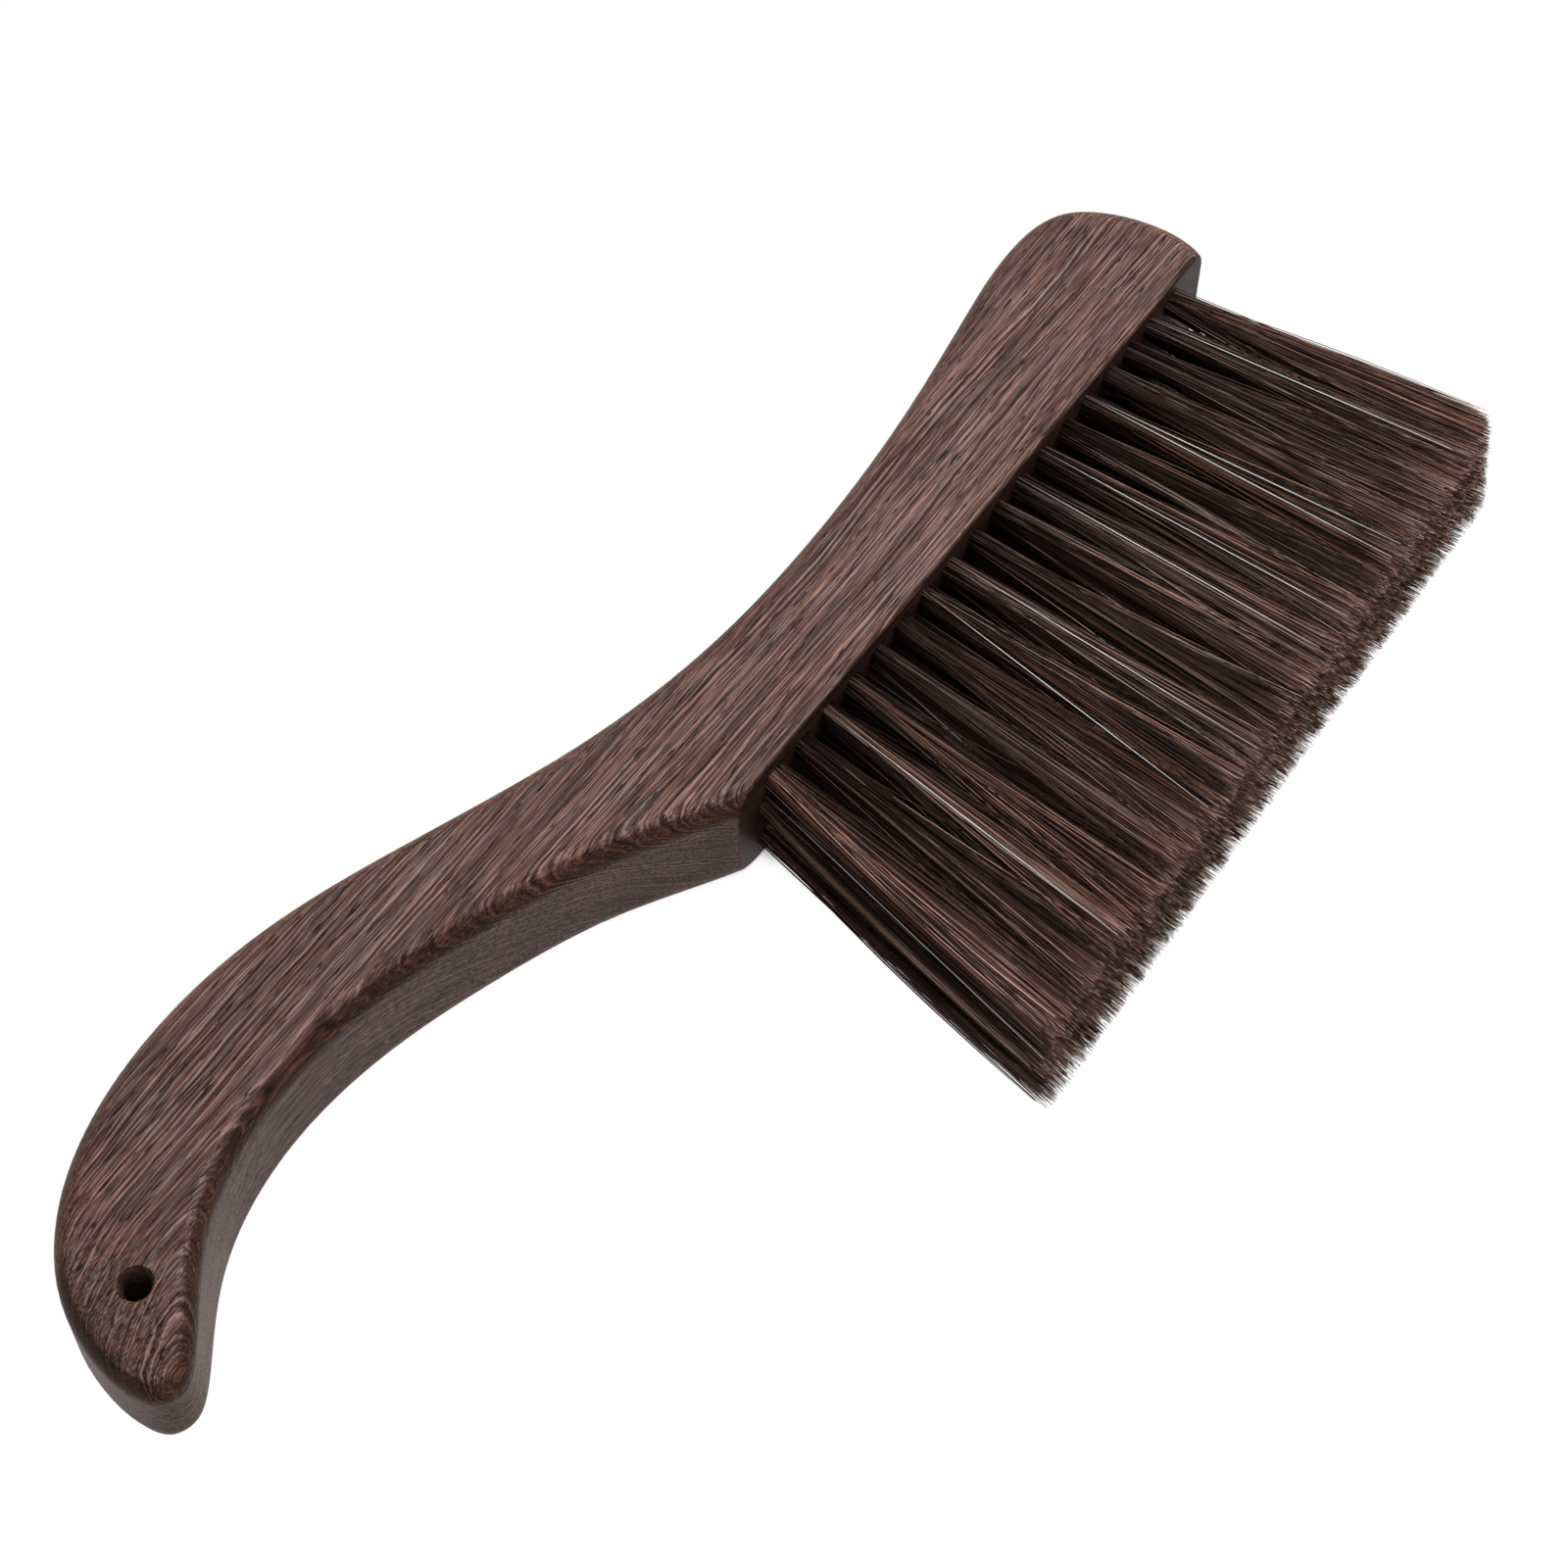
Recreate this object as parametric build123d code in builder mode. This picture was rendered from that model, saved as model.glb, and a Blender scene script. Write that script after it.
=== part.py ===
from build123d import *
import os
from math import radians, tan

# Neck duster brush: an S-shaped hardwood handle block, cut from one plank, with four staggered
# rows of round filament tufts set in blind drilled holes along its long narrow face.
# Drawing datum: x runs along the tuft rows from the first column towards the butt, y runs out of
# the bristle face along the filaments, and z = 0 is the flat back face that the brush lies on.

# ---- driving dimensions, millimetres ----
plank_thickness = 25.0
edge_radius = 4.5
bristle_edge_radius = 1.0
bristle_face_y = -0.7

# Towards the butt both broad faces fall away on long arcs, so the end of the handle is domed.
dome_start_x = 280.0
dome_radius = 80.0
dome_sweep = 26.0

# Rows 1 to 4 run from the front face to the back face. Rows 1 and 3 are plain rows; rows 2 and 4
# start about half a pitch nearer the head end and hold one tuft more.
tuft_rows = 4
row_pitch = 5.0
plain_row = {"tufts": 18, "first_x": 3.1, "last_x": 145.9, "first_tip_x": -0.9, "last_tip_x": 159.4}
offset_row = {"tufts": 19, "first_x": -1.1, "last_x": 148.1, "first_tip_x": -3.9, "last_tip_x": 162.2}
hole_diameter = 4.9
hole_depth = 13.0
drill_point_angle = 118.0

bristle_length = 72.8
tip_row_pitch = 5.2
hole_gap = 0.05
collar_height = 12.0
collar_width = 5.6
middle_height = 38.0
middle_width = 7.6
tuft_thickness = 4.8
tip_thickness = 5.0
tip_width = 8.6

# The tufts at the ends of a row also spread out over their free side, and the filaments are
# trimmed on a slight slope, shortest in the front row.
head_end_spread = 0.8
heel_end_spread = 3.1
trim_step = 0.7

anchor_thickness = 0.35
anchor_height = 1.6
anchor_bite = 0.35
anchor_floor = 1.2

hang_hole_diameter = 5.6
hang_hole_x = 291.3
hang_hole_y = -28.2
hang_hole_rim = 0.4

# ---- plan outline of the plank, one closed smooth curve ----
# The first and last points carry the curve past the bristle face, which is planed flat afterwards.
heel = [(130.0, 9.0), (147.0, 5.0), (157.0, 0.0)]
underside = [(178.8, -13.5), (201.7, -23.3), (226.7, -30.6), (248.0, -32.6), (263.9, -30.5), (278.0, -25.0)]
hook_tip = [(290.0, -16.8), (294.4, -13.7), (299.2, -11.8), (303.6, -13.4)]
butt = [(305.2, -18.1), (304.2, -27.5), (299.0, -39.0), (289.5, -48.0), (273.0, -55.5)]
back = [(252.0, -58.5), (228.0, -56.3), (199.9, -47.5), (159.9, -33.1), (130.0, -27.2)]
back_of_head = [(96.0, -25.9), (60.0, -28.5), (30.0, -32.9), (10.0, -34.8)]
head_end = [(-3.7, -31.3), (-9.7, -22.5), (-11.9, -12.5), (-11.2, -4.2)]
beyond_face = [(-6.0, 4.0), (4.0, 8.5), (20.0, 9.5), (75.0, 9.5)]

# ---- centre of the plan, which becomes the part's origin ----
head_end_x = -12.0
butt_end_x = 305.4
back_y = -58.5
centre_x = (head_end_x + butt_end_x) / 2
centre_y = (back_y + bristle_length) / 2

datum = Plane(origin=(-centre_x, -centre_y, 0))
from_base = (Align.CENTER, Align.CENTER, Align.MIN)
side_view = Plane(origin=(-centre_x, -centre_y, 0), x_dir=(1, 0, 0), z_dir=(0, -1, 0))


def across(x, y, z):
    """A plane square to the filaments, centred on a point of the drawing datum."""
    return Plane(origin=(x - centre_x, y - centre_y, z), x_dir=(1, 0, 0), z_dir=(0, 1, 0))


def into_block(x, y, z):
    """The same plane turned to face the other way, for drilling down from the bristle face."""
    return Plane(origin=(x - centre_x, y - centre_y, z), x_dir=(1, 0, 0), z_dir=(0, -1, 0))


def row_height(row, pitch):
    """Height of a row above the back face; row 0 is nearest the front face."""
    return plank_thickness / 2 + ((tuft_rows - 1) / 2 - row) * pitch


def row_layout(row):
    return offset_row if row % 2 == 1 else plain_row


def spaced(layout, first, last, column):
    """Even spacing between a row's first and last tufts."""
    return layout[first] + (layout[last] - layout[first]) * column / (layout["tufts"] - 1)


def root_x(row, column):
    return spaced(row_layout(row), "first_x", "last_x", column)


def tuft_centre(row, column, y):
    """Where a tuft's axis is at height y: a straight line from its hole to its tip."""
    share = y / bristle_length
    x = root_x(row, column)
    tip_x = spaced(row_layout(row), "first_tip_x", "last_tip_x", column)
    z = row_height(row, row_pitch)
    tip_z = row_height(row, tip_row_pitch)
    return x + (tip_x - x) * share, z + (tip_z - z) * share


def free_spread(row, column, y):
    """How far an end tuft spreads past its usual edge at height y: negative is towards the head end."""
    share = y / bristle_length
    swell = share * (2 - share)
    if column == 0:
        return -head_end_spread * swell
    if column == row_layout(row)["tufts"] - 1:
        return heel_end_spread * swell
    return 0.0


def trimmed_length(row):
    return bristle_length - (tuft_rows - 1 - row) * trim_step


holes = []
for row in range(tuft_rows):
    for column in range(row_layout(row)["tufts"]):
        holes.append((row, column))

hole_places = [(root_x(row, column), row_height(row, row_pitch)) for row, column in holes]

os.makedirs("parts", exist_ok=True)

# ---- handle block: sawn outline, domed butt, rounded edges, planed bristle face, drilled ----
drill_point_height = hole_diameter / 2 / tan(radians(drill_point_angle / 2))
anchor_width = hole_diameter + 2 * anchor_bite
anchor_y = bristle_face_y - hole_depth + anchor_floor

with BuildPart() as handle_block:
    with BuildSketch(datum):
        with BuildLine():
            Spline(heel + underside + hook_tip + butt + back + back_of_head + head_end + beyond_face, periodic=True)
        make_face()
    extrude(amount=plank_thickness)
    with BuildSketch(side_view):
        with BuildLine():
            floor_line = Line((head_end_x - 20, 0), (dome_start_x, 0))
            lower_arc = JernArc(floor_line @ 1, floor_line % 1, dome_radius, dome_sweep)
            upper_line = Line((head_end_x - 20, plank_thickness), (dome_start_x, plank_thickness))
            upper_arc = JernArc(upper_line @ 1, upper_line % 1, dome_radius, -dome_sweep)
            Line(lower_arc @ 1, upper_arc @ 1)
            Line(floor_line @ 0, upper_line @ 0)
        make_face()
    extrude(amount=200, both=True, mode=Mode.INTERSECT)
    wall = handle_block.faces().filter_by(lambda face: face.geom_type not in (GeomType.PLANE, GeomType.CYLINDER))
    fillet(wall.edges(), edge_radius)
    split(bisect_by=Plane(origin=(0, bristle_face_y - centre_y, 0), x_dir=(1, 0, 0), z_dir=(0, -1, 0)))
    bristle_face = handle_block.faces().filter_by(Axis.Y).sort_by(Axis.Y)[-1]
    fillet(bristle_face.edges(), bristle_edge_radius)

    # Blind holes for the tufts, with drill points, and the pockets the anchor plates bite into.
    with Locations([into_block(x, bristle_face_y, z) for x, z in hole_places]):
        Cylinder(hole_diameter / 2, hole_depth, align=from_base, mode=Mode.SUBTRACT)
    with Locations([into_block(x, bristle_face_y - hole_depth, z) for x, z in hole_places]):
        Cone(hole_diameter / 2, 0, drill_point_height, align=from_base, mode=Mode.SUBTRACT)
    with Locations([across(x, anchor_y, z) for x, z in hole_places]):
        Box(anchor_width, anchor_thickness, anchor_height, align=from_base, mode=Mode.SUBTRACT)

    # Hanging hole near the butt, its rims broken by a small chamfer.
    with BuildSketch(datum):
        with Locations((hang_hole_x, hang_hole_y)):
            Circle(hang_hole_diameter / 2)
    extrude(amount=plank_thickness, mode=Mode.SUBTRACT)
    bores = handle_block.faces().filter_by(GeomType.CYLINDER)
    hang_hole = bores.filter_by(lambda face: abs(face.radius - hang_hole_diameter / 2) < 0.01)
    hole_rims = hang_hole.edges().filter_by(lambda edge: edge.geom_type != GeomType.LINE)
    chamfer(hole_rims, hang_hole_rim)

handle_block.part.label = "handle_block"
export_step(handle_block.part, "parts/handle_block.step")

# ---- wire anchors: one small flat plate across the bottom of every hole ----
with BuildPart() as wire_anchors:
    with Locations([across(x, anchor_y, z) for x, z in hole_places]):
        Box(anchor_width, anchor_thickness, anchor_height, align=from_base)

wire_anchors.part.label = "wire_anchors"
export_step(wire_anchors.part, "parts/wire_anchors.step")

# ---- filament tufts: columns are numbered from the head end; each node holds two rows' tufts ----
# A tuft is folded over its anchor: a round shank fills the hole, then it widens and leans.
shank = hole_diameter / 2 - hole_gap
flare = [
    (bristle_face_y, 2 * shank, 2 * shank),
    (collar_height, collar_width, tuft_thickness),
    (middle_height, middle_width, tuft_thickness),
    (bristle_length, tip_width, tip_thickness),
]
for side, side_rows in (("front", (0, 1)), ("back", (2, 3))):
    for column in range(offset_row["tufts"]):
        name = f"{side}_tufts_{column + 1:02d}"
        with BuildPart() as tufts:
            for row in side_rows:
                if (row, column) not in holes:
                    continue
                x = root_x(row, column)
                z = row_height(row, row_pitch)
                with Locations(into_block(x, bristle_face_y, z)):
                    Cylinder(shank, hole_depth, align=from_base)
                for level, width, thickness in flare:
                    y = min(level, trimmed_length(row))
                    centre, height = tuft_centre(row, column, max(y, 0))
                    spread = free_spread(row, column, max(y, 0))
                    with BuildSketch(across(centre + spread / 2, y, height)):
                        Ellipse((width + abs(spread)) / 2, thickness / 2)
                loft()
                with Locations(across(x, anchor_y, z)):
                    Box(anchor_width, anchor_thickness, anchor_height, align=from_base, mode=Mode.SUBTRACT)
        tufts.part.label = name
        export_step(tufts.part, f"parts/{name}.step")
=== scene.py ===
"""Looks of a neck duster brush: a dark hardwood handle and long soft filaments.

Every piece is made in the part's own frame, in metres: +X runs along the tuft rows towards the
butt of the handle, +Y out of the bristle face, and the back face lies on z = 0.
"""

import math

import bpy
from bpy.props import (
    FloatProperty,
    FloatVectorProperty,
    IntProperty,
    PointerProperty,
)
from mathutils import Matrix, Vector


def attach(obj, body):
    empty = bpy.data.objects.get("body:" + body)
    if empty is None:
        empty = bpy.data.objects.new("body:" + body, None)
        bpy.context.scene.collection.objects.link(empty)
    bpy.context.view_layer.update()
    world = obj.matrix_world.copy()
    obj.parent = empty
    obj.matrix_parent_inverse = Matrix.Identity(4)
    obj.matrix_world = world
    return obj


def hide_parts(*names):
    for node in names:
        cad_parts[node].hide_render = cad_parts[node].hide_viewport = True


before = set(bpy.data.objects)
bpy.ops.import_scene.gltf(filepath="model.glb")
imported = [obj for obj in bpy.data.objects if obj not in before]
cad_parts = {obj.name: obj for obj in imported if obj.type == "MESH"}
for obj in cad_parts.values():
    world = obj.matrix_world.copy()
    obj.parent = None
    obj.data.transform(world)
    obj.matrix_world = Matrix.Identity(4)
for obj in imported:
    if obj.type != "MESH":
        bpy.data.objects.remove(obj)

bl_info = {
    "name": "Neck Duster Brush",
    "version": (1, 0, 0),
    "blender": (4, 5, 0),
    "location": "3D View > Sidebar > Duster",
    "description": "Adds the finished looks of a neck duster brush to its packed part",
    "category": "Add Mesh",
}

MM = 0.001
BODY = "root"

# Plan position of the drawing datum's origin in the part's frame, in millimetres.
DATUM_X = -146.7
DATUM_Y = -7.15

# Where the first and last tufts of a row stand and lean to, in millimetres along x.
PLAIN_ROW = {"root": (3.1, 145.9), "tip": (-0.9, 159.4), "tufts": 18}
OFFSET_ROW = {"root": (-1.1, 148.1), "tip": (-3.9, 162.2), "tufts": 19}
BRISTLE_FACE_Y = -0.7
BANK_TUFTS = 37
TUFTS_PER_PIECE = 8
FILAMENTS_PER_LOCK = 6

# Each bank is two rows: the plain one, and the one offset by half a pitch. Their heights at the
# roots and at the tips are in millimetres.
BANKS = {
    "front": {
        "plain": (20.0, 20.3),
        "offset": (15.0, 15.1),
        "seed": 1100,
        "silver_share": 0.0011,
        "tip_light": 1.0,
        "early_swell": -0.35,
    },
    "back": {
        "plain": (10.0, 9.9),
        "offset": (5.0, 4.7),
        "seed": 5700,
        "silver_share": 0.0,
        "tip_light": 0.98,
        "early_swell": 0.6,
    },
}
SEED_STEP = 10000

# Millimetres: the round tuft in its hole, its spread at the tips, and how the tips are trimmed.
ROOT_RADIUS = 2.55
ROOT_DEPTH = 3.0
TIP_HALF_WIDTH = 7.2
TIP_HALF_THICKNESS = 3.5
RAGGED_TRIM = 3.0
FEATHER = 4.5
BOW = 0.6

FAN = 0.75
STRAY_SHARE = 0.1
TRIM_SLOPE = 0.14


def mm(value):
    return value * MM


def to_part(x, y, z):
    """A point of the drawing datum, in millimetres, as a point of the part's frame in metres."""
    return Vector((mm(x + DATUM_X), mm(y + DATUM_Y), mm(z)))


def put_in_scene(obj):
    bpy.context.scene.collection.objects.link(obj)
    return obj


class Tree:
    """Short ways to add nodes to a node tree and to join them."""

    def __init__(self, tree):
        self.tree = tree

    def add(self, kind, inputs=None, **settings):
        node = self.tree.nodes.new(kind)
        for key, value in settings.items():
            setattr(node, key, value)
        for key, value in (inputs or {}).items():
            self.feed(node.inputs[key], value)
        return node

    def feed(self, socket, value):
        if isinstance(value, bpy.types.NodeSocket):
            self.tree.links.new(value, socket)
        else:
            socket.default_value = value

    def math(self, operation, *values):
        node = self.tree.nodes.new("ShaderNodeMath")
        node.operation = operation
        for socket, value in zip(node.inputs, values):
            self.feed(socket, value)
        return node.outputs[0]

    def plus(self, a, b):
        return self.math("ADD", a, b)

    def minus(self, a, b):
        return self.math("SUBTRACT", a, b)

    def times(self, a, b):
        return self.math("MULTIPLY", a, b)

    def blend(self, a, b, share):
        """a where share is 0 and b where it is 1."""
        return self.plus(a, self.times(self.minus(b, a), share))


# ---------------------------------------------------------------- materials


def new_material(name):
    material = bpy.data.materials.new(name)
    material.use_nodes = True
    material.node_tree.nodes.clear()
    return material, Tree(material.node_tree)


def finish_material(t, shader):
    out = t.add("ShaderNodeOutputMaterial")
    t.tree.links.new(shader.outputs[0], out.inputs["Surface"])


def ramp(t, share, stops):
    node = t.add("ShaderNodeValToRGB", {"Fac": share})
    while len(node.color_ramp.elements) < len(stops):
        node.color_ramp.elements.new(0.5)
    for element, (position, color) in zip(node.color_ramp.elements, stops):
        element.position = position
        element.color = (*color, 1.0)
    return node.outputs["Color"]


def mix_color(t, a, b, share, mode="MIX"):
    node = t.add("ShaderNodeMix", data_type="RGBA", blend_type=mode)
    t.feed(node.inputs[0], share)
    t.feed(node.inputs[6], (*a, 1.0) if isinstance(a, tuple) else a)
    t.feed(node.inputs[7], (*b, 1.0) if isinstance(b, tuple) else b)
    return node.outputs[2]


def stretched(t, source, stretch, shift=(0.0, 0.0, 0.0)):
    node = t.add("ShaderNodeMapping", {"Vector": source, "Scale": stretch, "Location": shift})
    return node.outputs["Vector"]


def noise(t, vector, scale, detail=2.0, roughness=0.5):
    node = t.add(
        "ShaderNodeTexNoise",
        {"Vector": vector, "Scale": scale, "Detail": detail, "Roughness": roughness},
    )
    return node.outputs["Fac"]


def line_noise(t, value, scale, detail, roughness):
    node = t.add(
        "ShaderNodeTexNoise",
        {"W": t.times(value, scale), "Scale": 1.0, "Detail": detail, "Roughness": roughness},
        noise_dimensions="1D",
    )
    return node.outputs["Fac"]


def wood_material(props):
    """Tilted growth layers: long streaks on the broad faces, contour lines where an edge cuts them, and
    painted shade on the rounded edges, the walls and the planed face.
    """
    material, t = new_material("wenge")
    place = t.add("ShaderNodeTexCoord").outputs["Object"]
    axes = t.add("ShaderNodeSeparateXYZ", {"Vector": place}).outputs
    slow = noise(t, stretched(t, place, (7.0, 45.0, 45.0)), 1.0, 2.0)
    quick = noise(t, stretched(t, place, (42.0, 420.0, 420.0)), 1.0, 3.0, 0.6)
    across = t.times(axes["Y"], 1000.0 / props.layer_pitch_y)
    through = t.times(axes["Z"], 1000.0 / props.layer_pitch_z)
    layer = t.plus(t.plus(across, through), t.plus(t.times(slow, 7.0), t.times(quick, 1.3)))
    bands = line_noise(t, layer, 2.5, 2.0, 0.65)
    broad = noise(t, stretched(t, place, (14.0, 170.0, 170.0), (3.0, 1.0, 0.0)), 1.0, 2.0)
    streaks = noise(t, stretched(t, place, (65.0, 2900.0, 2900.0), (5.0, 0.0, 3.0)), 1.0, 3.0, 0.65)
    fibre = noise(t, stretched(t, place, (170.0, 6500.0, 6500.0)), 1.0, 2.0, 0.6)
    value = t.plus(t.times(bands, 0.44), t.times(broad, 0.12))
    value = t.plus(value, t.plus(t.times(streaks, 0.40), t.times(fibre, 0.30)))
    color = ramp(
        t,
        value,
        [
            (0.52, tuple(props.dark_color)),
            (0.58, tuple(props.base_color)),
            (0.65, tuple(props.light_color)),
            (0.745, tuple(props.streak_color)),
        ],
    )
    warmth = noise(t, stretched(t, place, (60.0, 900.0, 900.0), (2.0, 0.0, 5.0)), 1.0, 2.0, 0.6)
    tint = ramp(t, warmth, [(0.38, (0.92, 0.98, 1.0)), (0.62, (1.12, 0.98, 0.88))])
    color = mix_color(t, color, tint, 1.0, "MULTIPLY")

    # The rounded edge above the bristles and underside cuts across the dark late wood. Its dark band is
    # partly that wood and partly painted shade set by the surface normal, and the walls facing the same way
    # get a painted shade too. Edges and walls facing the other way get a redder, darker painted shade.
    normal = t.add("ShaderNodeSeparateXYZ", {"Vector": t.add("ShaderNodeTexCoord").outputs["Normal"]}).outputs
    clear = (1.0, 1.0, 1.0)
    cut_and_shade = tuple(props.edge_cut_shade_tint)
    painted_edge_shade = ramp(t, normal["Z"], [(0.02, (0.72, 0.71, 0.74)), (0.25, cut_and_shade), (0.78, cut_and_shade), (0.93, clear)])
    facing = t.plus(normal["Y"], t.times(t.math("MAXIMUM", normal["X"], 0.0), 0.8))
    facing = t.math("GREATER_THAN", facing, 0.02)
    back = tuple(props.back_edge_shade_tint)
    painted_back_shade = ramp(t, normal["Z"], [(0.30, back), (0.90, back), (0.98, clear)])
    color = mix_color(t, color, mix_color(t, painted_back_shade, painted_edge_shade, facing), 1.0, "MULTIPLY")

    # Painted shade: the planed face that the tufts stand in is never in the light, so its colour is darkened
    # here.
    planed_face_shade = t.math("GREATER_THAN", axes["Y"], mm(BRISTLE_FACE_Y + DATUM_Y - 0.1))
    color = mix_color(t, color, (0.34, 0.29, 0.27), planed_face_shade, "MULTIPLY")

    pores = noise(t, stretched(t, place, (210.0, 2300.0, 2300.0), (0.0, 7.0, 2.0)), 1.0, 1.0, 0.4)
    pore_mask = ramp(t, pores, [(0.30, (1.0, 1.0, 1.0)), (0.35, (0.0, 0.0, 0.0))])
    color = mix_color(t, color, tuple(props.pore_color), pore_mask)
    relief = t.minus(t.plus(t.times(streaks, 1.2), t.times(bands, 0.6)), t.times(pore_mask, 1.2))
    bump = t.add("ShaderNodeBump", {"Strength": 0.35, "Distance": 0.0003, "Height": relief})
    shader = t.add(
        "ShaderNodeBsdfPrincipled",
        {
            "Base Color": color,
            "Normal": bump.outputs[0],
            "Roughness": t.plus(props.roughness - 0.08, t.times(fibre, 0.2)),
            "Specular IOR Level": 0.11,
            "Specular Tint": (1.0, 0.74, 0.64, 1.0),
        },
    )
    finish_material(t, shader)
    return material


def filament_material(props):
    """Brown filaments of mixed tones with a few silver ones; painted shade makes them nearly black down at
    their roots and painted light brightens their tips.
    """
    material, t = new_material("filament")
    tone = t.add("ShaderNodeAttribute", attribute_name="tone").outputs["Fac"]
    along = t.add("ShaderNodeAttribute", attribute_name="along").outputs["Fac"]
    warmth = t.add("ShaderNodeAttribute", attribute_name="warmth").outputs["Fac"]
    color = ramp(
        t,
        tone,
        [
            (0.24, tuple(props.dark_color)),
            (0.46, tuple(props.base_color)),
            (0.64, tuple(props.light_color)),
            (0.80, tuple(props.pale_color)),
        ],
    )
    # Painted shade and light, read from the stored 'along' value: nearly black at the roots, brighter than
    # the filament's own tone at the tips.
    painted_shade_and_light = ramp(
        t,
        along,
        [
            (0.02, (0.20, 0.21, 0.24)),
            (0.12, (0.50, 0.52, 0.56)),
            (0.45, (0.85, 0.85, 0.87)),
            (0.88, (1.1, 1.1, 1.12)),
            (1.0, (1.85, 1.88, 2.0)),
        ],
    )
    color = mix_color(t, color, painted_shade_and_light, 1.0, "MULTIPLY")
    tint = ramp(t, warmth, [(0.25, (0.92, 0.98, 1.02)), (0.9, (1.24, 0.98, 0.83))])
    color = mix_color(t, color, tint, 1.0, "MULTIPLY")
    is_silver = t.math("GREATER_THAN", tone, 0.95)
    silver = t.times(is_silver, ramp(t, along, [(0.08, (0.0, 0.0, 0.0)), (0.35, (1.0, 1.0, 1.0))]))
    color = mix_color(t, color, tuple(props.silver_color), silver)
    shader = t.add(
        "ShaderNodeBsdfPrincipled",
        {
            "Base Color": color,
            "Roughness": props.roughness,
            "Specular IOR Level": 0.22,
            "Specular Tint": (*props.light_color, 1.0),
        },
    )
    finish_material(t, shader)
    return material


def seen_ray(t):
    """1 for rays that show the surroundings themselves: camera, glossy and transmission rays."""
    path = t.add("ShaderNodeLightPath").outputs
    shown = t.math("MAXIMUM", path["Is Camera Ray"], path["Is Glossy Ray"])
    return t.math("MAXIMUM", shown, path["Is Transmission Ray"])


def floor_material():
    """White where it is seen, with painted shade from ambient occlusion right under the filaments, and matt
    for light.
    """
    material, t = new_material("studio_floor")
    shade = t.add("ShaderNodeAmbientOcclusion", {"Distance": 0.05}, samples=16)
    white_with_painted_shade = ramp(t, shade.outputs["AO"], [(0.08, (0.004, 0.003, 0.003)), (0.21, (1.0, 1.0, 1.0))])
    shine = t.add("ShaderNodeEmission", {"Color": white_with_painted_shade, "Strength": 1.0})
    matt = t.add("ShaderNodeBsdfDiffuse", {"Color": (0.8, 0.8, 0.8, 1.0)})
    both = t.add("ShaderNodeMixShader", {"Fac": seen_ray(t)})
    t.tree.links.new(matt.outputs[0], both.inputs[1])
    t.tree.links.new(shine.outputs[0], both.inputs[2])
    finish_material(t, both)
    return material


# ---------------------------------------------------------------- filaments

TREE_INPUTS = (
    ("First Tuft", "NodeSocketInt"),
    ("Tufts", "NodeSocketInt"),
    ("Filaments per Tuft", "NodeSocketInt"),
    ("Filament Radius", "NodeSocketFloat"),
    ("Root Radius", "NodeSocketFloat"),
    ("Tip Half Width", "NodeSocketFloat"),
    ("Tip Half Thickness", "NodeSocketFloat"),
    ("Root Y", "NodeSocketFloat"),
    ("Tip Y", "NodeSocketFloat"),
    ("Ragged Trim", "NodeSocketFloat"),
    ("Feather", "NodeSocketFloat"),
    ("Bow", "NodeSocketFloat"),
    ("Fan", "NodeSocketFloat"),
    ("Stray Share", "NodeSocketFloat"),
    ("Silver Share", "NodeSocketFloat"),
    ("Plain Root Z", "NodeSocketFloat"),
    ("Plain Tip Z", "NodeSocketFloat"),
    ("Offset Root Z", "NodeSocketFloat"),
    ("Offset Tip Z", "NodeSocketFloat"),
    ("Trim Slope", "NodeSocketFloat"),
    ("Tip Light", "NodeSocketFloat"),
    ("Early Swell", "NodeSocketFloat"),
    ("Seed", "NodeSocketInt"),
    ("Material", "NodeSocketMaterial"),
)
FILAMENT_POINTS = 7


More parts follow.
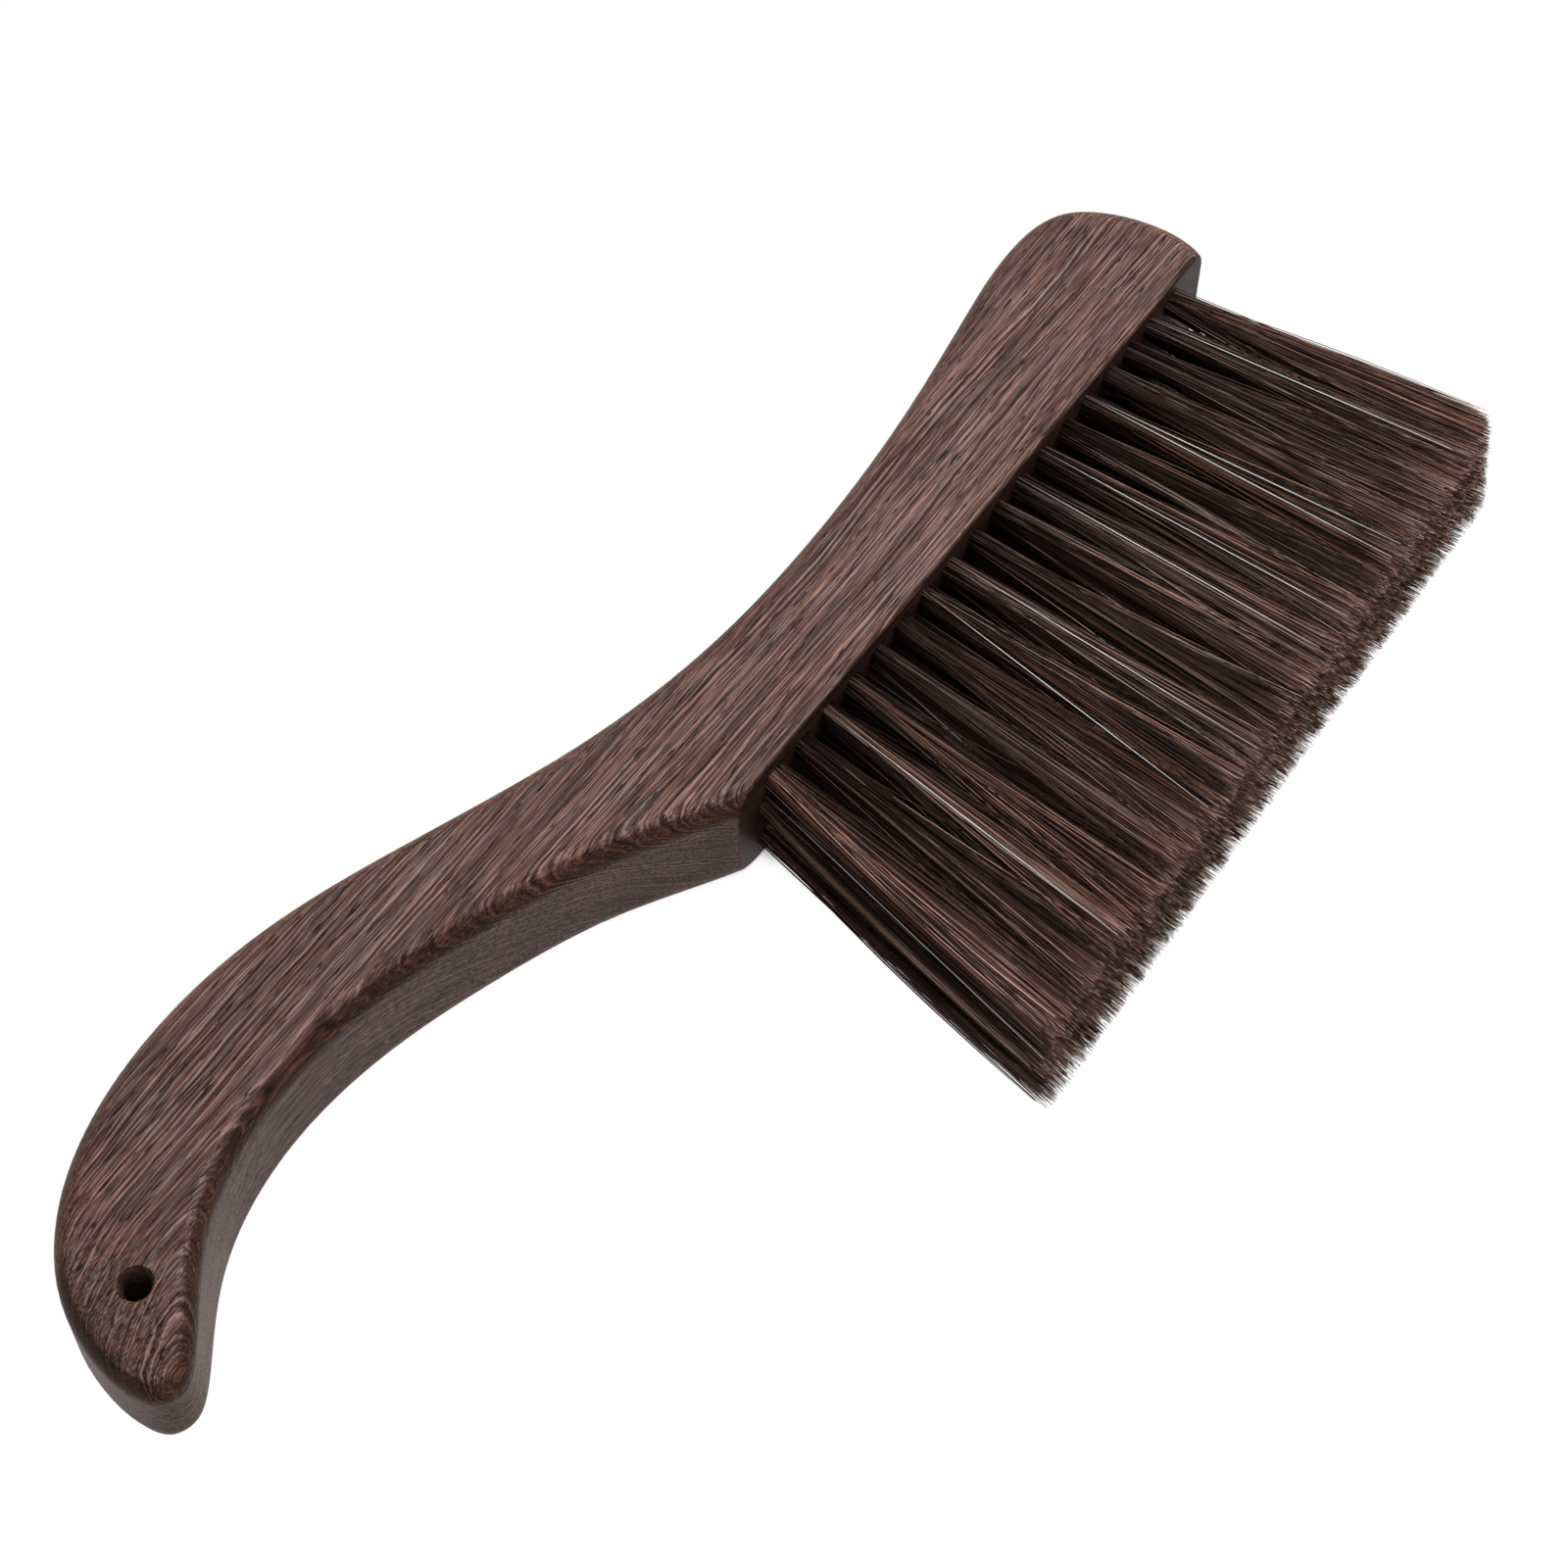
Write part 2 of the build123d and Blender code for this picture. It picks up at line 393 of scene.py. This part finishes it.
def filament_tree():
    """Straight filaments copied, placed tuft by tuft, trimmed, shaded and swept into thin rods."""
    tree = bpy.data.node_groups.new("filament_bank", "GeometryNodeTree")
    for name, kind in TREE_INPUTS:
        tree.interface.new_socket(name, in_out="INPUT", socket_type=kind)
    tree.interface.new_socket("Geometry", in_out="OUTPUT", socket_type="NodeSocketGeometry")
    t = Tree(tree)
    given = t.add("NodeGroupInput").outputs

    line = t.add("GeometryNodeCurvePrimitiveLine", {"Start": (0, 0, 0), "End": (0, 1, 0)})
    line = t.add(
        "GeometryNodeResampleCurve",
        {"Curve": line.outputs["Curve"], "Count": FILAMENT_POINTS},
    )
    count = t.times(given["Tufts"], given["Filaments per Tuft"])
    copies = t.add(
        "GeometryNodeDuplicateElements",
        {"Geometry": line.outputs["Curve"], "Amount": count},
        domain="SPLINE",
    )

    keep = t.add("GeometryNodeCaptureAttribute", {"Geometry": copies.outputs["Geometry"]}, domain="CURVE")
    keep.capture_items.new("INT", "Number")
    t.feed(keep.inputs["Number"], copies.outputs["Duplicate Index"])
    number = keep.outputs["Number"]

    def chance(offset, low=0.0, high=1.0, among=None):
        """A random value for each filament; every draw has its own offset from the seed."""
        node = t.add(
            "FunctionNodeRandomValue",
            {"Min": low, "Max": high, "ID": among or number, "Seed": t.plus(given["Seed"], float(offset))},
            data_type="FLOAT",
        )
        return node.outputs["Value"]

    along = t.add("GeometryNodeSplineParameter").outputs["Factor"]
    tuft = t.plus(t.math("FLOOR", t.math("DIVIDE", number, given["Filaments per Tuft"])), given["First Tuft"])
    plain = t.math("MODULO", tuft, 2.0)
    column = t.math("FLOOR", t.times(tuft, 0.5))

    def spaced(ends, layout):
        """Even spacing between a row's first and last tufts."""
        low, high = (mm(value) for value in layout[ends])
        return t.plus(low, t.times(column, (high - low) / (layout["tufts"] - 1)))

    root_x = t.blend(spaced("root", OFFSET_ROW), spaced("root", PLAIN_ROW), plain)
    tip_x = t.blend(spaced("tip", OFFSET_ROW), spaced("tip", PLAIN_ROW), plain)
    root_z = t.blend(given["Offset Root Z"], given["Plain Root Z"], plain)
    tip_z = t.blend(given["Offset Tip Z"], given["Plain Tip Z"], plain)

    end = (BANK_TUFTS - 1) / 2
    from_middle = t.minus(tuft, end)
    outermost = t.math("GREATER_THAN", t.math("ABSOLUTE", from_middle), end - 1.5)
    side = t.math("SIGN", from_middle)

    # Filaments gather in small locks; a lock keeps its place in the round tuft from root to tip.
    lock = t.math("FLOOR", t.math("DIVIDE", number, FILAMENTS_PER_LOCK))

    def lock_chance(offset, low=0.0, high=1.0):
        """A random value that all the filaments of a lock share."""
        return chance(offset, low, high, lock)

    reach = t.math("SQRT", lock_chance(1))
    angle = lock_chance(2, 0.0, 2 * math.pi)
    lock_across = t.times(reach, t.math("COSINE", angle))
    lock_up = t.times(reach, t.math("SINE", angle))
    across = t.plus(t.times(lock_across, 0.78), chance(3, -0.25, 0.25))
    across = t.times(across, t.plus(1.0, t.times(outermost, 0.22)))
    up = t.plus(t.times(lock_up, 0.78), chance(4, -0.25, 0.25))
    stray = t.math("LESS_THAN", chance(5), given["Stray Share"])
    own = t.plus(0.13, t.times(stray, 0.9))

    # Most locks stay near their tuft; some fan out wide and cross their neighbours.
    fan = lock_chance(6, -1.0, 1.0)
    fan = t.times(t.math("POWER", t.math("ABSOLUTE", fan), 3.0), t.math("SIGN", fan))
    fan = t.times(fan, given["Fan"])
    tip_across = t.plus(t.times(lock_across, 0.57), t.plus(fan, t.times(chance(7, -1.0, 1.0), own)))
    tip_up = t.plus(t.times(up, 0.8), t.plus(lock_chance(8, -0.12, 0.12), chance(9, -0.12, 0.12)))

    # On their free side the end tufts fill out evenly to a firm edge, wider at the heel.
    outward = t.times(tip_across, side)
    outward = t.plus(outward, t.plus(0.1, t.times(side, 0.1)))
    outward = t.times(outward, t.plus(1.38, t.times(side, 0.1)))
    uneven = t.plus(0.04, t.times(chance(17), t.times(chance(21), -0.45)))
    allowed = t.plus(t.plus(0.78, t.times(side, 0.22)), uneven)
    held = t.math("SMOOTH_MIN", outward, allowed, 0.3)
    tip_across = t.blend(tip_across, t.times(held, side), outermost)

    # The silver filaments lie on top of their tuft.
    silver = t.math("LESS_THAN", chance(14), given["Silver Share"])
    across = t.blend(across, t.times(across, 0.4), silver)
    up = t.blend(up, 1.06, silver)
    tip_up = t.blend(tip_up, 1.12, silver)

    # End tufts swell soonest, the front ones only towards their tips; silver ones run straight.
    early = t.blend(given["Early Swell"], t.minus(0.8, t.times(side, 0.1)), outermost)
    early = t.times(early, t.minus(1.0, silver))
    swell = t.times(along, t.minus(t.plus(1.0, early), t.times(along, early)))
    bow = t.times(t.math("SINE", t.times(along, math.pi)), t.times(given["Bow"], t.minus(1.0, silver)))
    spread_x = t.blend(
        t.times(across, given["Root Radius"]), t.times(tip_across, given["Tip Half Width"]), swell
    )
    spread_z = t.blend(
        t.times(up, given["Root Radius"]), t.times(tip_up, given["Tip Half Thickness"]), swell
    )
    sway = t.plus(lock_chance(10, -1.0, 1.0), chance(11, -0.25, 0.25))
    x = t.plus(t.blend(root_x, tip_x, along), t.plus(spread_x, t.times(bow, sway)))
    z = t.plus(t.blend(root_z, tip_z, along), t.plus(spread_z, t.times(bow, lock_chance(12, -0.6, 0.6))))

    # Trimmed on a slight slope, shortest in front, and rounded off at the head end.
    end_x = t.plus(tip_x, t.times(tip_across, given["Tip Half Width"]))
    corner = t.math("MAXIMUM", t.minus(mm(3.0), end_x), 0.0)
    corner = t.times(t.times(corner, corner), 60.0)
    trimmed = t.plus(t.times(t.math("POWER", chance(13), 2.5), given["Ragged Trim"]), corner)
    trimmed = t.plus(trimmed, t.times(tip_z, given["Trim Slope"]))
    feather = t.times(t.math("MAXIMUM", t.plus(up, 0.4), 0.0), given["Feather"])
    trimmed = t.plus(trimmed, t.times(feather, t.times(chance(18), chance(19))))
    y = t.blend(given["Root Y"], t.minus(given["Tip Y"], trimmed), along)

    place = t.add(
        "ShaderNodeCombineXYZ",
        {"X": t.plus(x, mm(DATUM_X)), "Y": t.plus(y, mm(DATUM_Y)), "Z": z},
    )
    moved = t.add(
        "GeometryNodeSetPosition",
        {"Geometry": keep.outputs["Geometry"], "Position": place.outputs[0]},
    )
    taper = t.minus(1.0, t.times(t.math("POWER", along, 5.0), 0.6))
    sized = t.add("GeometryNodeSetCurveRadius", {"Curve": moved.outputs[0], "Radius": taper})
    shade = t.plus(t.times(chance(15), 0.52), t.times(lock_chance(16), 0.48))
    tone = t.blend(t.times(shade, 0.9), 1.0, silver)

    # Painted light and shade for each point: rows behind the first stay dark for longer, the lower side and
    # the flanks of a tuft are darker, the tips of the offset and back rows a little darker, and the outermost
    # heel tufts lighter.
    heel = t.times(outermost, t.math("MAXIMUM", side, 0.0))
    beneath = t.times(t.plus(t.math("MAXIMUM", t.times(up, -1.0), 0.0), t.times(across, across)), 0.5)
    shadowed = t.times(t.plus(t.times(t.minus(1.0, plain), 0.7), beneath), t.minus(1.0, heel))
    tip_light = t.times(given["Tip Light"], t.blend(0.95, 1.0, plain))
    lit = t.times(t.math("POWER", along, t.plus(1.0, shadowed)), t.blend(tip_light, 1.0, heel))
    lit = t.blend(lit, t.plus(0.82, t.times(along, 0.16)), heel)
    toned = t.add(
        "GeometryNodeStoreNamedAttribute",
        {"Geometry": sized.outputs[0], "Name": "tone", "Value": tone},
        data_type="FLOAT",
        domain="POINT",
    )
    # The 'along' attribute carries this painted light and shade; only the silver filaments keep their plain
    # place along the filament.
    marked = t.add(
        "GeometryNodeStoreNamedAttribute",
        {"Geometry": toned.outputs[0], "Name": "along", "Value": t.blend(lit, along, silver)},
        data_type="FLOAT",
        domain="POINT",
    )
    warmed = t.add(
        "GeometryNodeStoreNamedAttribute",
        {"Geometry": marked.outputs[0], "Name": "warmth", "Value": lock_chance(20)},
        data_type="FLOAT",
        domain="POINT",
    )
    section = t.add(
        "GeometryNodeCurvePrimitiveCircle",
        {"Resolution": 3, "Radius": given["Filament Radius"]},
        mode="RADIUS",
    )
    swept = t.add(
        "GeometryNodeCurveToMesh",
        {
            "Curve": warmed.outputs[0],
            "Profile Curve": section.outputs["Curve"],
            "Scale": t.add("GeometryNodeInputRadius").outputs[0],
            "Fill Caps": True,
        },
    )
    whole = t.add("GeometryNodeRealizeInstances", {"Geometry": swept.outputs[0]})
    painted = t.add(
        "GeometryNodeSetMaterial",
        {"Geometry": whole.outputs[0], "Material": given["Material"]},
    )
    out = t.add("NodeGroupOutput")
    tree.links.new(painted.outputs[0], out.inputs[0])
    return tree


def made_by_tree(tree, name, values):
    """The tree's result as a plain mesh object."""
    host = put_in_scene(bpy.data.objects.new(name + "_host", bpy.data.meshes.new(name + "_host")))
    modifier = host.modifiers.new("nodes", "NODES")
    modifier.node_group = tree
    for item in tree.interface.items_tree:
        if item.item_type == "SOCKET" and item.in_out == "INPUT":
            modifier[item.identifier] = values[item.name]
    bpy.context.view_layer.update()
    evaluated = host.evaluated_get(bpy.context.evaluated_depsgraph_get())
    mesh = bpy.data.meshes.new_from_object(evaluated)
    host.modifiers.remove(modifier)
    bpy.data.objects.remove(host)
    mesh.name = name
    return put_in_scene(bpy.data.objects.new(name, mesh))


# ---------------------------------------------------------------- settings


class DusterHandleSettings(bpy.types.PropertyGroup):
    """Colours and finish of the handle."""

    base_color: FloatVectorProperty(
        name="Base", description="Ground colour of the wood", subtype="COLOR", default=(0.0545, 0.029, 0.025)
    )
    dark_color: FloatVectorProperty(
        name="Dark Bands", description="Late wood", subtype="COLOR", default=(0.016, 0.007, 0.005)
    )
    light_color: FloatVectorProperty(
        name="Light Bands", description="Early wood", subtype="COLOR", default=(0.129, 0.078, 0.068)
    )
    streak_color: FloatVectorProperty(
        name="Streaks", description="Thin pale lines", subtype="COLOR", default=(0.34, 0.22, 0.19)
    )
    # Partly the cut late wood, partly painted shade on the rounded edge.
    edge_cut_shade_tint: FloatVectorProperty(
        name="Edge Cut and Shade", description="Tint of the rounded edge", subtype="COLOR", default=(0.34, 0.25, 0.20)
    )
    # Painted shade on the rounded edges and walls that face away.
    back_edge_shade_tint: FloatVectorProperty(
        name="Back Edge Shade", description="Tint of the back's edge", subtype="COLOR", default=(1.0, 0.78, 0.68)
    )
    pore_color: FloatVectorProperty(
        name="Pores", description="Open pores", subtype="COLOR", default=(0.008, 0.006, 0.005)
    )
    roughness: FloatProperty(
        name="Roughness", description="Roughness of the oiled surface", default=0.42, min=0.0, max=1.0
    )
    layer_pitch_y: FloatProperty(
        name="Streak Pitch",
        description="Spacing of the streaks on the broad faces, in millimetres",
        default=1.35,
        min=0.1,
    )
    layer_pitch_z: FloatProperty(
        name="Layer Pitch",
        description="Spacing of the growth layers through the plank, in millimetres",
        default=1.1,
        min=0.1,
    )


class DusterFilamentSettings(bpy.types.PropertyGroup):
    """Number, size and colours of the filaments."""

    front_count: IntProperty(
        name="Front Filaments", description="Filaments in each tuft of the front rows", default=520, min=20
    )
    back_count: IntProperty(
        name="Back Filaments", description="Filaments in each tuft of the back rows", default=380, min=20
    )
    radius: FloatProperty(
        name="Radius", description="Radius of one filament", default=0.0001, unit="LENGTH", subtype="DISTANCE"
    )
    trim_y: FloatProperty(
        name="Trim Line",
        description="Free length of the longest filaments in millimetres",
        default=73.9,
        min=10.0,
    )
    dark_color: FloatVectorProperty(
        name="Dark", description="Darkest filaments", subtype="COLOR", default=(0.014, 0.009, 0.008)
    )
    base_color: FloatVectorProperty(
        name="Base", description="Most filaments", subtype="COLOR", default=(0.06, 0.033, 0.0275)
    )
    light_color: FloatVectorProperty(
        name="Light", description="Light filaments", subtype="COLOR", default=(0.23, 0.137, 0.106)
    )
    pale_color: FloatVectorProperty(
        name="Pale", description="Palest filaments", subtype="COLOR", default=(0.50, 0.36, 0.30)
    )
    silver_color: FloatVectorProperty(
        name="Silver", description="The few bright filaments", subtype="COLOR", default=(0.92, 0.91, 0.90)
    )
    roughness: FloatProperty(
        name="Roughness", description="Roughness of the filaments", default=0.4, min=0.0, max=1.0
    )


class DusterStageSettings(bpy.types.PropertyGroup):
    """Camera and lamps."""

    lens: FloatProperty(name="Lens", description="Focal length in millimetres", default=72.7, min=10.0)
    key: FloatProperty(name="Key", description="Power of the main lamp", default=7.2, min=0.0, unit="POWER")
    fill: FloatProperty(name="Fill", description="Power of the fill lamp", default=1.8, min=0.0, unit="POWER")
    ambient: FloatProperty(
        name="Ambient", description="Strength of the light from all round", default=0.22, min=0.0
    )


# ---------------------------------------------------------------- operators


class DUSTER_OT_handle(bpy.types.Operator):
    """Finish the handle block"""

    bl_idname = "duster.handle"
    bl_label = "Handle"

    def execute(self, context):
        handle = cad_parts["handle_block"]
        material = wood_material(context.scene.duster_handle)
        handle.data.materials.clear()
        handle.data.materials.append(material)
        return {"FINISHED"}


class DUSTER_OT_filaments(bpy.types.Operator):
    """Grow the filaments of all four rows"""

    bl_idname = "duster.filaments"
    bl_label = "Filaments"

    def execute(self, context):
        props = context.scene.duster_filaments
        tree = filament_tree()
        material = filament_material(props)
        for side, bank in BANKS.items():
            per_tuft = props.front_count if side == "front" else props.back_count
            for piece, first in enumerate(range(0, BANK_TUFTS, TUFTS_PER_PIECE)):
                tufts = min(TUFTS_PER_PIECE, BANK_TUFTS - first)
                name = f"{side}_filaments_{piece + 1}"
                obj = made_by_tree(
                    tree,
                    name,
                    {
                        "First Tuft": first,
                        "Tufts": tufts,
                        "Filaments per Tuft": per_tuft,
                        "Filament Radius": props.radius,
                        "Root Radius": mm(ROOT_RADIUS),
                        "Tip Half Width": mm(TIP_HALF_WIDTH),
                        "Tip Half Thickness": mm(TIP_HALF_THICKNESS),
                        "Root Y": mm(BRISTLE_FACE_Y - ROOT_DEPTH),
                        "Tip Y": mm(props.trim_y),
                        "Ragged Trim": mm(RAGGED_TRIM),
                        "Feather": mm(FEATHER),
                        "Bow": mm(BOW),
                        "Fan": FAN,
                        "Stray Share": STRAY_SHARE,
                        "Silver Share": bank["silver_share"],
                        "Trim Slope": TRIM_SLOPE,
                        "Tip Light": bank["tip_light"],
                        "Early Swell": bank["early_swell"],
                        "Plain Root Z": mm(bank["plain"][0]),
                        "Plain Tip Z": mm(bank["plain"][1]),
                        "Offset Root Z": mm(bank["offset"][0]),
                        "Offset Tip Z": mm(bank["offset"][1]),
                        "Seed": bank["seed"] + piece * SEED_STEP,
                        "Material": material,
                    },
                )
                for polygon in obj.data.polygons:
                    polygon.use_smooth = True
                columns = range(first // 2 + 1, (first + tufts - 1) // 2 + 2)
                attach(obj, BODY)
                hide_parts(*[f"{side}_tufts_{column:02d}" for column in columns])
        return {"FINISHED"}


FLOOR_SIZE = 6.0
FLOOR_DROP = 0.0002
SENSOR_WIDTH = 36.0
KEY_PLACE = (-0.42, 0.11, 0.79)
KEY_SIZE = 0.35
FILL_PLACE = (0.50, 0.70, 0.45)
FILL_SIZE = 0.8
CAMERA_PLACE = (0.27479, 0.18127, 0.49421)
CAMERA_RIGHT = (-0.5627, 0.8267, 0.0)
CAMERA_UP = (-0.6772, -0.4610, 0.5736)


class DUSTER_OT_stage(bpy.types.Operator):
    """Lay the floor and set the camera and lamps"""

    bl_idname = "duster.stage"
    bl_label = "Stage"

    def execute(self, context):
        props = context.scene.duster_stage
        scene = context.scene
        bpy.ops.mesh.primitive_plane_add(size=FLOOR_SIZE, location=(0.0, 0.0, -FLOOR_DROP))
        floor = context.object
        floor.name = "studio_floor"
        floor.data.materials.append(floor_material())

        camera = bpy.data.cameras.new("camera")
        camera.lens = props.lens
        camera.sensor_width = SENSOR_WIDTH
        camera.clip_start = 0.01
        obj = put_in_scene(bpy.data.objects.new("camera", camera))
        right = Vector(CAMERA_RIGHT).normalized()
        up = Vector(CAMERA_UP)
        up = (up - right * up.dot(right)).normalized()
        axes = Matrix((right, up, right.cross(up))).transposed()
        obj.matrix_world = Matrix.Translation(CAMERA_PLACE) @ axes.to_4x4()
        scene.camera = obj

        lamps = (
            ("key", KEY_PLACE, KEY_SIZE, props.key),
            ("fill", FILL_PLACE, FILL_SIZE, props.fill),
        )
        for name, place, size, power in lamps:
            lamp = bpy.data.lights.new(name, "AREA")
            lamp.size = size
            lamp.energy = power
            lamp_obj = put_in_scene(bpy.data.objects.new(name, lamp))
            lamp_obj.location = place
            lamp_obj.rotation_mode = "QUATERNION"
            lamp_obj.rotation_quaternion = (-Vector(place)).to_track_quat("-Z", "Y")

        world = bpy.data.worlds.new("studio")
        world.use_nodes = True
        world.node_tree.nodes.clear()
        t = Tree(world.node_tree)
        strength = t.plus(props.ambient, t.times(seen_ray(t), 1.0 - props.ambient))
        back = t.add("ShaderNodeBackground", {"Color": (1.0, 1.0, 1.0, 1.0), "Strength": strength})
        out = t.add("ShaderNodeOutputWorld")
        world.node_tree.links.new(back.outputs[0], out.inputs["Surface"])
        scene.world = world
        scene.view_settings.view_transform = "Standard"
        return {"FINISHED"}


class DUSTER_PT_panel(bpy.types.Panel):
    """Sizes, colours and the buttons that make each piece"""

    bl_idname = "DUSTER_PT_panel"
    bl_label = "Neck Duster Brush"
    bl_space_type = "VIEW_3D"
    bl_region_type = "UI"
    bl_category = "Duster"

    def draw(self, context):
        for label, settings, operator in (
            ("Handle", context.scene.duster_handle, DUSTER_OT_handle),
            ("Filaments", context.scene.duster_filaments, DUSTER_OT_filaments),
            ("Stage", context.scene.duster_stage, DUSTER_OT_stage),
        ):
            box = self.layout.box()
            box.label(text=label)
            for key in settings.__annotations__:
                box.prop(settings, key)
            box.operator(operator.bl_idname)


CLASSES = (
    DusterHandleSettings,
    DusterFilamentSettings,
    DusterStageSettings,
    DUSTER_OT_handle,
    DUSTER_OT_filaments,
    DUSTER_OT_stage,
    DUSTER_PT_panel,
)


def register():
    for cls in CLASSES:
        bpy.utils.register_class(cls)
    bpy.types.Scene.duster_handle = PointerProperty(type=DusterHandleSettings)
    bpy.types.Scene.duster_filaments = PointerProperty(type=DusterFilamentSettings)
    bpy.types.Scene.duster_stage = PointerProperty(type=DusterStageSettings)


def unregister():
    del bpy.types.Scene.duster_stage
    del bpy.types.Scene.duster_filaments
    del bpy.types.Scene.duster_handle
    for cls in reversed(CLASSES):
        bpy.utils.unregister_class(cls)


def main():
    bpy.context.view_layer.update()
    register()
    bpy.ops.duster.handle()
    bpy.ops.duster.filaments()
    bpy.ops.duster.stage()


if __name__ == "__main__":
    main()
